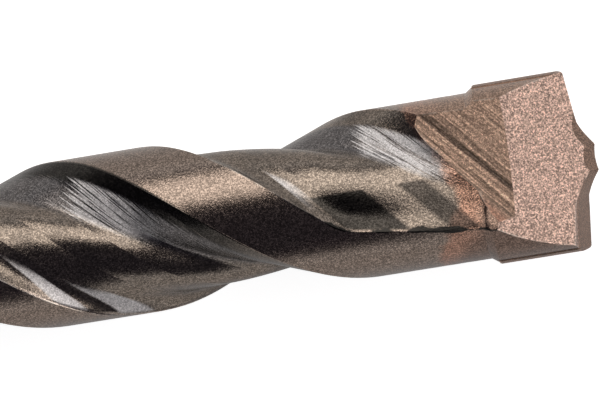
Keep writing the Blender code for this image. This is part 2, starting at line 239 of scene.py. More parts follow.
def soft_min(first, second, softness):
    """The lesser of two values, with the corner between them rounded."""
    share = min(max(0.5 + 0.5 * (second - first) / softness, 0.0), 1.0)
    return second + (first - second) * share - softness * share * (1.0 - share)


def curve_through(points, at):
    """A smooth curve through (position, value) points, read at one position."""
    last = len(points) - 2
    index = 0
    while index < last and at > points[index + 1][0]:
        index += 1
    (x0, y0), (x1, y1) = points[index], points[index + 1]

    def slope(i):
        before, after = points[max(i - 1, 0)], points[min(i + 1, last + 1)]
        return (after[1] - before[1]) / (after[0] - before[0])

    width = x1 - x0
    t = (at - x0) / width
    start, end = slope(index) * width, slope(index + 1) * width
    return (
        y0 * (1 + 2 * t) * (1 - t) ** 2
        + start * t * (1 - t) ** 2
        + y1 * t * t * (3 - 2 * t)
        + end * t * t * (t - 1)
    )


def land_edges(body, x):
    """Angles of one land's trailing and leading edges at a place along the axis."""
    back = corner_x() - max(x, body.shank_length)
    leading = body.leading_edge - 2 * math.pi * back / body.pitch
    widening = smooth_step(-body.land_widens_from, -body.land_widens_to, -back)
    trailing = leading - body.land_angle - (body.land_angle_near_head - body.land_angle) * widening
    if back < body.land_widens_to:
        settled = (body.edge_bends - back) / (body.edge_bends - body.edge_settles)
        bent = body.edge_at_bend + (body.edge_in_head - body.edge_at_bend) * min(settled, 1.0)
        trailing = soft_min(trailing, bent, body.trailing_softness)
    return trailing, soft_min(leading, body.head_leading_edge, body.leading_softness)


def outer_radius(body, cuts, x):
    """Radius of the shank, of the lands or of the seat beside the plate."""
    if x <= body.shank_length:
        return body.shank_radius
    taper = smooth_step(0.0, body.collar_taper, x - body.shank_length)
    radius = body.shank_radius + (body.land_radius - body.shank_radius) * taper
    seat = corner_x() - cuts.plate_side
    rise = cuts.plate_radius - body.plate_proud - body.land_radius
    return radius + rise * smooth_step(seat - body.seat_ramp, seat, x)


def flute_radius(body, x, share):
    """Radius across a flute as a share of the outer radius."""
    depth = smooth_step(0.0, body.run_out, x - body.shank_length)
    head = smooth_step(-body.head_starts, -body.head_full, x - corner_x())
    profile = curve_through(FLUTE_PROFILE, share)
    profile += head * (curve_through(HEAD_FLUTE_PROFILE, share) - profile)
    return 1.0 - depth * (1.0 - profile)


# Points of the body's rings, and of the round shapes
FLUTE_POINTS = 34
LAND_POINTS = 14
HALF_RING = FLUTE_POINTS + LAND_POINTS
BALL_SIDES = 40
BALL_RINGS = 24
BAR_SIDES = 120


def section_point(body, cuts, x, place):
    """One point of the body's section: its place runs over flute, land, flute and land."""
    trailing, leading = land_edges(body, x)
    radius = outer_radius(body, cuts, x)
    land = leading - trailing
    flute = math.pi - land
    turn = math.pi * (place // HALF_RING)
    step = place % HALF_RING
    if step < FLUTE_POINTS:
        share = step / FLUTE_POINTS
        radius *= flute_radius(body, x, share)
        angle = leading + turn + share * flute
    else:
        angle = leading + turn + flute + land * (step - FLUTE_POINTS) / LAND_POINTS
    return Vector((x, radius * math.cos(angle), radius * math.sin(angle)))


def ring_places(body, cuts):
    """Places along the axis where the fluted body has a ring."""
    count = math.ceil((body.length - body.shank_length) / body.station_step)
    step = (body.length - body.shank_length) / count
    places = [body.shank_length + step * index for index in range(1, count + 1)]
    seat = corner_x() - cuts.plate_side
    places += [seat - body.seat_ramp, seat]
    return sorted(places)


def verts_of(items):
    return [item for item in items if isinstance(item, bmesh.types.BMVert)]


def grow_ring(bm, edges):
    """Extrudes a ring of edges once, and returns the new ring's points and edges."""
    grown = bmesh.ops.extrude_edge_only(bm, edges=edges)["geom"]
    verts = verts_of(grown)
    ring = set(verts)
    edges = [item for item in grown if isinstance(item, bmesh.types.BMEdge)]
    return verts, [edge for edge in edges if ring.issuperset(edge.verts)]


def finished_object(name, bm, material, recalculate=True):
    if recalculate:
        bmesh.ops.recalc_face_normals(bm, faces=bm.faces)
    mesh = bpy.data.meshes.new(name)
    bm.to_mesh(mesh)
    bm.free()
    made = bpy.data.objects.new(name, mesh)
    bpy.context.scene.collection.objects.link(made)
    mesh.materials.append(material)
    return made


def fluted_blank(body, cuts, material):
    """The body before its slots are cut: one ring, extruded from station to station."""
    bm = bmesh.new()
    order = bm.verts.layers.int.new("place")
    made = bmesh.ops.create_circle(bm, cap_ends=False, segments=2 * HALF_RING, radius=1.0)
    around = sorted(made["verts"], key=lambda v: math.atan2(v.co.y, v.co.x) % (2 * math.pi))
    for place, vert in enumerate(around):
        vert[order] = place

    def set_ring(verts, x, narrow=1.0):
        for vert in verts:
            point = section_point(body, cuts, max(x, body.shank_length), vert[order])
            vert.co = (x, point.y * narrow, point.z * narrow)

    chamfer = body.shank_chamfer
    set_ring(around, 0.0, (body.shank_radius - chamfer) / body.shank_radius)
    edges = list(bm.edges)
    bmesh.ops.contextual_create(bm, geom=edges)
    for x in [chamfer, body.shank_length] + ring_places(body, cuts):
        verts, edges = grow_ring(bm, edges)
        set_ring(verts, x)
    bmesh.ops.contextual_create(bm, geom=edges)
    return finished_object("steel_body_form", bm, material)


def half_turn(side):
    return Matrix.Rotation(math.pi * side, 4, "X")


def frame_of(origin, along, upward):
    """A matrix whose Z runs along one direction and whose Y leans towards the other."""
    z = along.normalized()
    x = upward.cross(z).normalized()
    y = z.cross(x)
    return Matrix.Translation(origin) @ Matrix((x, y, z)).transposed().to_4x4()


def block(name, low, high, place, material):
    """A box between two corners, then placed by a matrix."""
    bm = bmesh.new()
    bmesh.ops.create_cube(bm, size=1.0)
    size = Vector(high) - Vector(low)
    middle = (Vector(high) + Vector(low)) / 2
    bmesh.ops.scale(bm, vec=size, verts=bm.verts)
    bmesh.ops.translate(bm, vec=middle, verts=bm.verts)
    bmesh.ops.transform(bm, matrix=place, verts=bm.verts)
    return finished_object(name, bm, material)


def face_cutter(cuts, side, material, sunk=0.0):
    """Everything above the face that slopes down to one cutting edge, with a fine mesh on that face."""
    corner = corner_x()
    normal = Vector((-cuts.face_along, -cuts.face_across, 1.0)).normalized()
    origin = Vector((corner, 0.0, cuts.face_height - sunk))
    place = half_turn(side) @ frame_of(origin, Vector((0.0, 1.0, cuts.face_across)), normal)
    half = cuts.reach / 2
    bm = bmesh.new()
    steps = round(cuts.reach / cuts.grain)
    bmesh.ops.create_grid(bm, x_segments=steps, y_segments=steps, size=half)
    bmesh.ops.rotate(bm, verts=bm.verts, matrix=Matrix.Rotation(math.pi / 2, 3, "X"))
    grown = bmesh.ops.extrude_face_region(bm, geom=list(bm.faces))["geom"]
    bmesh.ops.translate(bm, vec=(0.0, cuts.reach, 0.0), verts=verts_of(grown))
    bmesh.ops.transform(bm, matrix=place, verts=bm.verts)
    return finished_object(f"face_cutter_{side}", bm, material)


def gullet_cutter(cuts, side, material):
    """The rim of the grinding wheel that opens the flute: its outline spun round the wheel's axis."""
    corner = corner_x()
    along, across = cuts.gullet_along, cuts.gullet_across

    def on_floor(x, y):
        return Vector((x, y, cuts.gullet_height + along * (x - corner) + across * y))

    lowest = on_floor(corner - cuts.gullet_back, cuts.gullet_offset)
    turn = cuts.gullet_direction
    step = on_floor(lowest.x + math.cos(turn) * MM, lowest.y - math.sin(turn) * MM)
    normal = Vector((-along, -across, 1.0)).normalized()
    place = half_turn(side) @ frame_of(lowest, step - lowest, normal)
    reach = cuts.reach
    lean = reach / math.tan(cuts.gullet_side)
    bm = bmesh.new()
    count = round(reach / cuts.grain)
    floor = [(reach * index / count, 0.0) for index in range(count + 1)]
    side_line = [(-lean * index / count, reach * index / count) for index in range(count, 0, -1)]
    outline = side_line + floor + [(reach, reach)]
    face = bm.faces.new([bm.verts.new((x, y, 0.0)) for x, y in outline])
    arc = reach / cuts.wheel_radius
    axis, centre = (1.0, 0.0, 0.0), (0.0, cuts.wheel_radius, 0.0)
    swing = Matrix.Rotation(-arc / 2, 3, "X")
    bmesh.ops.rotate(bm, verts=bm.verts, cent=centre, matrix=swing)
    geom = [face] + list(face.edges) + list(face.verts)
    bmesh.ops.spin(bm, geom=geom, axis=axis, cent=centre, angle=arc, steps=count, use_duplicate=False)
    bmesh.ops.transform(bm, matrix=place, verts=bm.verts)
    return finished_object(f"gullet_cutter_{side}", bm, material)


def lock_cutter(body, cuts, side, material):
    """One closed groove with round ends: a ball stretched along the shank."""
    bm = bmesh.new()
    bmesh.ops.create_uvsphere(bm, u_segments=BALL_SIDES, v_segments=BALL_RINGS, radius=cuts.lock_radius)
    bmesh.ops.rotate(bm, verts=bm.verts, matrix=Matrix.Rotation(math.pi / 2, 3, "Y"))
    front = [v for v in bm.verts if v.co.x > cuts.lock_radius / 100]
    bmesh.ops.translate(bm, verts=front, vec=(cuts.lock_length - 2 * cuts.lock_radius, 0.0, 0.0))
    rise = body.shank_radius - cuts.lock_depth + cuts.lock_radius
    place = Matrix.Translation((cuts.lock_start + cuts.lock_radius, rise, 0.0))
    bmesh.ops.transform(bm, matrix=half_turn(side) @ place, verts=bm.verts)
    return finished_object(f"lock_cutter_{side}", bm, material)


def drive_cutter(body, cuts, side, material):
    """One straight slot, open at the rear end and ramped out at the front."""
    floor = body.shank_radius - cuts.drive_depth
    half = cuts.drive_width / 2
    low = (-body.shank_radius, -half, floor)
    high = (cuts.drive_length, half, 2 * body.shank_radius)
    made = block(f"drive_cutter_{side}", low, high, Matrix.Identity(4), material)
    for vert in made.data.vertices:
        if vert.co.x > 0.0 and vert.co.z > floor + cuts.drive_depth / 2:
            vert.co.x += vert.co.z - floor
    made.data.transform(half_turn(side))
    return made


def edge_profile(cuts, across):
    """Height of the tip's outline over the outer corners, along the cutting edges and the centre point."""
    offset = abs(across)
    rise, wing = cuts.point_rise, cuts.wing_rise
    if offset >= cuts.foot_offset:
        return wing * (cuts.plate_radius - offset) / (cuts.plate_radius - cuts.foot_offset)
    if offset >= cuts.peak_offset:
        share = (cuts.foot_offset - offset) / (cuts.foot_offset - cuts.peak_offset)
        swept = (1.0 - cuts.point_sweep) * share + cuts.point_sweep * share * share
        return wing + (rise - wing) * swept
    return rise - cuts.point_notch * (1.0 - (offset / cuts.peak_offset) ** 2)


# The crest is drawn this far past the gash face, so that no row of the tip's grid lies in that face
CREST_CLEAR = 0.02 * MM


def crest_height(cuts, across):
    """Where the tip's crest lies: on each cutting edge, crossing over to the middle at the centre point."""
    share = smooth_step(cuts.peak_offset, cuts.crest_leaves, abs(across))
    return math.copysign((cuts.edge_height + CREST_CLEAR) * share, across)


def tip_height(cuts, across, height):
    """The ground tip surface: it falls away from the crest, least on the flank behind each cutting edge."""
    drop = height - crest_height(cuts, across)
    slope = cuts.roof_slope
    if drop * across < 0.0:
        slope += (cuts.flank_slope - cuts.roof_slope) * smooth_step(0.0, cuts.foot_offset, abs(across))
    past_corner = max(0.0, abs(across) - cuts.plate_radius + cuts.corner_chamfer)
    return edge_profile(cuts, across) - slope * abs(drop) - past_corner


def tip_cutter(cuts, sunk, material):
    """Everything before the tip surface: a grid whose middle row follows the crest, extruded forwards."""
    corner = corner_x()
    reach = cuts.reach / 2
    count = 2 * round(reach / cuts.fine_grain)
    bm = bmesh.new()
    bmesh.ops.create_grid(bm, x_segments=count, y_segments=count // 2, size=1.0)
    for vert in bm.verts:
        across, row = vert.co.x * reach, vert.co.y
        height = crest_height(cuts, across) * (1.0 - abs(row)) + row * abs(row) * reach
        vert.co = (corner + tip_height(cuts, across, height) - sunk, across, height)
    grown = bmesh.ops.extrude_face_region(bm, geom=list(bm.faces))["geom"]
    for vert in verts_of(grown):
        vert.co.x = corner + cuts.reach
    return finished_object("tip_cutter", bm, material)


def round_bar(name, cuts, radius, start, material):
    """A bar along the axis, with a fine mesh along its length."""
    bm = bmesh.new()
    made = bmesh.ops.create_circle(bm, segments=BAR_SIDES, radius=radius)
    place = Matrix.Translation((start, 0.0, 0.0)) @ Matrix.Rotation(math.pi / 2, 4, "Y")
    bmesh.ops.transform(bm, matrix=place, verts=made["verts"])
    edges = list(bm.edges)
    bmesh.ops.contextual_create(bm, geom=edges)
    length = corner_x() + cuts.point_rise + MM - start
    count = round(length / cuts.grain)
    for _ in range(count):
        verts, edges = grow_ring(bm, edges)
        bmesh.ops.translate(bm, vec=(length / count, 0.0, 0.0), verts=verts)
    bmesh.ops.contextual_create(bm, geom=edges)
    return finished_object(name, bm, material)


def slab_cutters(cuts, half_height, material):
    """Two blocks that leave only a slab of the bar, half its height above and below the middle plane."""
    reach = cuts.reach
    low = (corner_x() - 2 * reach, -reach, half_height)
    high = (corner_x() + reach, reach, reach)
    return [block(f"slab_{side}", low, high, half_turn(side), material) for side in (0, 1)]


def cut_all(blank, cutters):
    """Cuts every cutter out of the blank and removes the cutters. The blank's mesh is replaced."""
    holder = bpy.data.collections.new("cutters")
    bpy.context.scene.collection.children.link(holder)
    for cutter in cutters:
        bpy.context.scene.collection.objects.unlink(cutter)
        holder.objects.link(cutter)
    boolean = blank.modifiers.new("cut", "BOOLEAN")
    boolean.operation = "DIFFERENCE"
    boolean.operand_type = "COLLECTION"
    boolean.solver = "EXACT"
    boolean.material_mode = "TRANSFER"
    boolean.collection = holder
    graph = bpy.context.evaluated_depsgraph_get()
    mesh = bpy.data.meshes.new_from_object(blank.evaluated_get(graph), depsgraph=graph)
    blank.modifiers.clear()
    old = blank.data
    blank.data = mesh
    mesh.name = old.name
    bpy.data.meshes.remove(old)
    for cutter in cutters:
        bpy.data.objects.remove(cutter, do_unlink=True)
    bpy.data.collections.remove(holder)


# How far the worn line, partly a painted highlight, reaches from an edge, how closely edges are sampled, and
# how sharp an edge is to be worn
EDGE_REACH = 0.3 * MM
EDGE_SAMPLE = 0.08 * MM
SHARP_ANGLE = math.radians(26.0)
WORN_FROM = math.radians(28.0)
WORN_FULL = math.radians(50.0)


def on_seam(cuts, edge):
    """Whether an edge lies along the brazed seam, where blasting leaves no worn line and no painted highlight
    is laid.
    """
    middle = (edge.verts[0].co + edge.verts[1].co) / 2
    beside = abs(abs(middle.z) - cuts.plate_thickness / 2) < 2 * cuts.braze_gap
    return beside and middle.x > corner_x() - cuts.plate_side - 2 * cuts.braze_gap


def mark_edges(mesh, cuts):
    """Stores how near each point lies to a worn edge, whose line is partly a painted highlight, 1 on the edge
    and 0 past its reach.
    """
    bm = bmesh.new()
    bm.from_mesh(mesh)
    sharp = [e for e in bm.edges if len(e.link_faces) == 2 and e.calc_face_angle(0.0) > WORN_FROM]
    sharp = [edge for edge in sharp if not on_seam(cuts, edge)]
    samples, weights = [], []
    for edge in sharp:
        first, last = edge.verts[0].co, edge.verts[1].co
        count = max(1, math.ceil((last - first).length / EDGE_SAMPLE))
        samples += [first.lerp(last, index / count) for index in range(count + 1)]
        weights += [smooth_step(WORN_FROM, WORN_FULL, edge.calc_face_angle())] * (count + 1)
    tree = KDTree(len(samples))
    for index, point in enumerate(samples):
        tree.insert(point, index)
    tree.balance()
    near = []
    for vert in bm.verts:
        _, index, distance = tree.find(vert.co)
        near.append(weights[index] * max(0.0, 1.0 - distance / EDGE_REACH))
    bm.free()
    store = mesh.attributes.new("edge", "FLOAT", "POINT")
    store.data.foreach_set("value", near)


def mark_flutes(mesh, body):
    """Stores, in mm, how far past the leading edge, before the trailing edge and in a flute points lie."""
    walls, feet, insides = [], [], []
    for vert in mesh.vertices:
        trailing, leading = land_edges(body, vert.co.x)
        angle = math.atan2(vert.co.z, vert.co.y)
        flute = math.pi - (leading - trailing)
        past = (angle - leading) % math.pi
        if past > (math.pi + flute) / 2:
            past -= math.pi
        walls.append(past * body.land_radius)
        feet.append((flute - past) * body.land_radius)
        inside = min(past, flute - past) * body.land_radius
        insides.append(inside if vert.co.x > body.shank_length else -MM)
    for name, values in (("wall", walls), ("foot", feet), ("inside", insides)):
        store = mesh.attributes.new(name, "FLOAT", "POINT")
        store.data.foreach_set("value", [value / MM for value in values])


def shade(mesh, angle):
    mesh.shade_smooth()
    mesh.set_sharp_from_angle(angle=angle)


# Spacing of the nodes in the node editor
COLUMN_WIDTH = 220
ROW_HEIGHT = 180


def add_node(tree, kind, **values):
    node = tree.nodes.new(kind)
    for name, value in values.items():
        setattr(node, name, value)
    return node


def plug(value, socket):
    """Gives an input a number, a colour or the result of another node."""
    if isinstance(value, Value):
        value.tree.links.new(value.socket, socket)
    elif isinstance(value, (int, float)):
        socket.default_value = value
    else:
        socket.default_value = (*value, 1.0)


def tree_of(values):
    return next(value.tree for value in values if isinstance(value, Value))


def maths(operation, *values, clamp=False):
    """A Math node over numbers and results."""
    node = add_node(tree_of(values), "ShaderNodeMath", operation=operation, use_clamp=clamp)
    for value, socket in zip(values, node.inputs):
        plug(value, socket)
    return Value(node.outputs[0])


def mix(factor, first, second, blend="MIX"):
    """A colour Mix node over colours and results."""
    values = (factor, first, second)
    node = add_node(tree_of(values), "ShaderNodeMix", data_type="RGBA", blend_type=blend)
    for value, index in zip(values, (0, 6, 7)):
        plug(value, node.inputs[index])
    return Value(node.outputs[2])


class Value:
    """The result of a node, with which a material's maths is written as a formula."""

    def __init__(self, socket):
        self.socket = socket
        self.tree = socket.id_data

    def __add__(self, other):
        return maths("ADD", self, other)

    def __sub__(self, other):
        return maths("SUBTRACT", self, other)

    def __mul__(self, other):
        return maths("MULTIPLY", self, other)

    def __truediv__(self, other):
        return maths("DIVIDE", self, other)

    def spread(self, low, high, start=0.0, end=1.0, smooth=False):
        """Maps low to high onto start to end, and holds the ends."""
        node = add_node(self.tree, "ShaderNodeMapRange")
        node.interpolation_type = "SMOOTHSTEP" if smooth else "LINEAR"
        for value, socket in zip((self, low, high, start, end), node.inputs):
            plug(value, socket)
        return Value(node.outputs[0])

    def rising(self, low, high):
        return self.spread(low, high, smooth=True)

    def falling(self, low, high, end=0.0):
        return self.spread(low, high, 1.0, end, smooth=True)

    def tinting(self, colour, darkest, lightest):
        """A colour times a grey that runs from darkest to lightest with this value."""
        return mix(1.0, colour, self.spread(0.0, 1.0, darkest, lightest), "MULTIPLY")

    def ramp(self, stops):
        """A ramp of greys over this value, from (place, grey) stops."""
        low, high = stops[0][0], stops[-1][0]
        node = add_node(self.tree, "ShaderNodeValToRGB")
        plug(self.spread(low, high), node.inputs[0])
        marks = node.color_ramp.elements
        marks.remove(marks[1])
        marks[0].position = 0.0
        marks[0].color = (stops[0][1], stops[0][1], stops[0][1], 1.0)
        for place, grey in stops[1:]:
            marks.new((place - low) / (high - low)).color = (grey, grey, grey, 1.0)
        return Value(node.outputs[0])


def object_place(tree):
    return Value(add_node(tree, "ShaderNodeTexCoord").outputs["Object"])


def attribute(tree, name):
    return Value(add_node(tree, "ShaderNodeAttribute", attribute_name=name).outputs["Fac"])


def noise(where, scale, detail, roughness):
    node = add_node(where.tree, "ShaderNodeTexNoise")
    given = {"Vector": where, "Scale": scale, "Detail": detail, "Roughness": roughness}
    for name, value in given.items():
        plug(value, node.inputs[name])
    return Value(node.outputs[0])


def plane_point(x, y):
    node = add_node(x.tree, "ShaderNodeCombineXYZ")
    plug(x, node.inputs[0])
    plug(y, node.inputs[1])
    return Value(node.outputs[0])


def split_place(where):
    node = add_node(where.tree, "ShaderNodeSeparateXYZ")
    plug(where, node.inputs[0])
    return [Value(socket) for socket in node.outputs]


def arrange(tree):
    """Lays the nodes out in columns, by the steps between each and the end."""
    columns = {node.name: 0 for node in tree.nodes}
    for _ in tree.nodes:
        for link in tree.links:
            start, end = link.from_node.name, link.to_node.name
            columns[start] = max(columns[start], columns[end] + 1)
    rows = {}
    for node in tree.nodes:
        column = columns[node.name]
        rows[column] = rows.get(column, 0) + 1
        node.location = (-COLUMN_WIDTH * column, -ROW_HEIGHT * rows[column])


def new_group(name, inputs, outputs):
    """A node group of values, and what is given to it by name."""
    group = bpy.data.node_groups.new(name, "ShaderNodeTree")
    for label, default in inputs.items():
        socket = group.interface.new_socket(name=label, in_out="INPUT", socket_type="NodeSocketFloat")
        socket.default_value = default
    for label in outputs:
        group.interface.new_socket(name=label, in_out="OUTPUT", socket_type="NodeSocketFloat")
    start = add_node(group, "NodeGroupInput")
    return group, {label: Value(start.outputs[label]) for label in inputs}


def finish_group(group, *results):
    end = add_node(group, "NodeGroupOutput")
    for value, socket in zip(results, end.inputs):
        plug(value, socket)
    arrange(group)


def blasted_grain_group():
    """Pits and grains left by blasting: each grain's fleck and rarer glint, a broad blotch and a height."""
    outputs = ("Fleck", "Glint", "Blotch", "Height")
    group, given = new_group("Blasted grain", {"Grain Size": 0.11}, outputs)
    where = object_place(group)
    per_metre = maths("DIVIDE", 1.0 / MM, given["Grain Size"])
    fine = noise(where, per_metre * 0.8, 2.0, 0.6)
    cells = add_node(group, "ShaderNodeTexVoronoi")
    plug(where, cells.inputs["Vector"])
    plug(per_metre, cells.inputs["Scale"])
    parts = add_node(group, "ShaderNodeSeparateColor")
    plug(Value(cells.outputs["Color"]), parts.inputs[0])
    fleck = fine.spread(0.30, 0.70) * 0.55 + Value(parts.outputs[0]) * 0.45
    fleck = fleck.spread(0.17, 0.83)
    glint = maths("POWER", fleck, 1.7)
    finish_group(group, fleck, glint, noise(where, 620.0, 4.0, 0.6), fine)


def edge_wear_and_highlight_group():
    """Bright line along sharp edges, worn bare steel and partly a painted highlight, broken up by noise.
    Reads the piece's edge attribute.
    """
    group, given = new_group("Edge wear", {"Thinness": 5.0, "Amount": 1.0}, ("Mask",))
    line = maths("POWER", attribute(group, "edge"), given["Thinness"])
    line = line * noise(object_place(group), 1500.0, 3.0, 0.6).rising(0.35, 0.6)
    finish_group(group, maths("MULTIPLY", line, given["Amount"], clamp=True))


# The wheel's passes leave the same marks again and again along the flutes: their spacing and the first
# fan's start, in mm, and the share of that spacing which lies across the scratches
FAN_PERIOD = 16.8
FAN_START = 4.8
FAN_ACROSS = 0.47


def grinding_group():
    """Marks of the wheel across a flute: scratches, fans, flat facets and the place in one pass."""
    outputs = ("Lines", "Fan", "Facets", "Phase")
    group, given = new_group("Grinding lines", {"Ahead": 0.0, "Facet Width": 1.6}, outputs)
    wall, ahead = attribute(group, "wall"), given["Ahead"]
    cross = wall * 0.88 + ahead * -FAN_ACROSS
    run = wall * 0.47 + ahead * 0.88
    spot = plane_point(cross * 6.5, run * 0.22)
    lines = noise(spot, 1.0, 3.0, 0.6)
    turn = maths("WRAP", ahead + (lines - 0.5) * 4.0, FAN_PERIOD, 0.0)
    fan = turn.rising(FAN_START, FAN_START + 0.5) * turn.falling(FAN_START + 3.0, FAN_START + 5.6)
    facet = wall * 0.96 + ahead * -0.29 + noise(spot, 0.05, 1.0, 0.5) * 0.8
    facets = maths("PINGPONG", facet, given["Facet Width"])
    finish_group(group, lines, fan, facets, maths("WRAP", cross, FAN_PERIOD * FAN_ACROSS, 0.0))


def head_place_group():
    """Places in the head, in mm: before the corners, across the flute, across and along the wheel's run."""
    outputs = ("Ahead", "Across", "Cross", "Run")
    group, given = new_group("Head place", {"Corner X": 0.15885, "Direction": 0.84}, outputs)
    x, y, z = split_place(object_place(group))
    ahead = (x - given["Corner X"]) * (1.0 / MM)
    across = y * maths("SIGN", z) * (1.0 / MM)
    sine, cosine = maths("SINE", given["Direction"]), maths("COSINE", given["Direction"])
    finish_group(group, ahead, across, ahead * sine + across * cosine, ahead * cosine - across * sine)


def heat_tint_group():
    """How far the steel was heated by brazing: a tint mask and a redder band at its border."""
    inputs = {"Ahead": 0.0, "Across": 0.0, "Border": -6.9, "Width": 1.0}
    group, given = new_group("Heat tint", inputs, ("Tint", "Band"))
    across = given["Across"]
    wave = (noise(object_place(group), 420.0, 3.0, 0.55) - 0.5) * 3.0
    above = maths("MAXIMUM", across, 0.0) * 0.5
    below = maths("MAXIMUM", across * -0.5 - 0.6, 0.0)
    past = (given["Ahead"] + above + below + wave - given["Border"]) / given["Width"]
    finish_group(group, past.rising(-0.4, 0.4), past.rising(-0.4, 0.3) * past.falling(0.5, 2.2))


def effect(tree, name, **given):
    """Adds a shared effect to a material. Its results are read by name."""
    node = add_node(tree, "ShaderNodeGroup", node_tree=bpy.data.node_groups[name])
    for label, value in given.items():
        plug(value, node.inputs[label.replace("_", " ")])
    return {socket.name: Value(socket) for socket in node.outputs}


def new_material(name):
    material = bpy.data.materials.new(name)
    material.use_nodes = True
    return material.node_tree


def set_shader(tree, given):
    """Gives the material's own shader numbers, colours and results by the names of its inputs."""
    shader = tree.nodes["Principled BSDF"]
    for name, value in given.items():
        plug(value, shader.inputs[name])
    arrange(tree)


def finish_metal(tree, colour, roughness, height, bump, metallic=1.0):
    """Joins a colour, a roughness and a height to the material's own shader."""
    bump_node = add_node(tree, "ShaderNodeBump")
    plug(1.0, bump_node.inputs["Strength"])
    plug(bump, bump_node.inputs["Distance"])
    plug(height, bump_node.inputs["Height"])
    set_shader(tree, {
        "Base Color": colour,
        "Roughness": roughness,
        "Metallic": metallic,
        "Normal": Value(bump_node.outputs[0]),
    })


# Direction of the wheel's run in the head, and spacing of its facets in the flutes, in mm
WHEEL_RUN = math.radians(48.0)
FACET_WIDTH = 2.6
# Where brazing heat ends, in mm from the corners, and how softly
HEAT_BORDER = -6.9
HEAT_WIDTH = 0.9


def place_in_head(tree):
    """The shared places in the head, set to this bit's corners and wheel."""
    return effect(tree, "Head place", Corner_X=corner_x(), Direction=WHEEL_RUN)


def blasted(tree, grain_size, thinness=7.0, amount=0.6):
    """The effects of every blasted metal: its grain, and the worn line along its edges, which is partly a
    painted highlight.
    """
    grain = effect(tree, "Blasted grain", Grain_Size=grain_size / MM)
    return grain, effect(tree, "Edge wear", Thinness=thinness, Amount=amount)["Mask"]


# Painted shade: dark bands across the flute floor in the head, laid in place of its dark reflection: mm
# across the wheel's path, and how dark
FLOOR_PAINTED_SHADE = (
    (-12.4, 0.0), (-12.1, 0.7), (-11.9, 0.1), (-11.6, 0.8), (-11.35, 0.0), (-11.0, 0.0), (-10.85, 1.0),
    (-8.75, 1.0), (-8.55, 0.0), (-7.35, 0.0), (-7.1, 0.85), (-6.2, 0.85), (-5.95, 0.0),
)
# Painted highlights in the flute beside each trailing edge, repeating with the wheel's passes: mm across
# them, and how bright
FOOT_PAINTED_HIGHLIGHTS = (
    (0.0, 0.9), (0.3, 0.9), (0.45, 0.0), (5.5, 0.0), (5.7, 0.8), (6.6, 0.8), (6.75, 0.0),
    (7.45, 0.0), (7.6, 0.9), (7.896, 0.9),
)
# Stripes of the gullet: mm across the wheel's path, and how light
GULLET_STRIPES = (
    (-6.2, 0.40), (-4.80, 0.40), (-4.55, 0.15), (-4.35, 0.75), (-4.20, 0.25), (-4.00, 0.95), (-3.82, 0.50),
    (-3.66, 0.90), (-3.45, 0.10), (-3.22, 0.20), (-3.05, 0.60), (-2.85, 0.35), (-2.60, 0.60), (-0.5, 0.55),
)


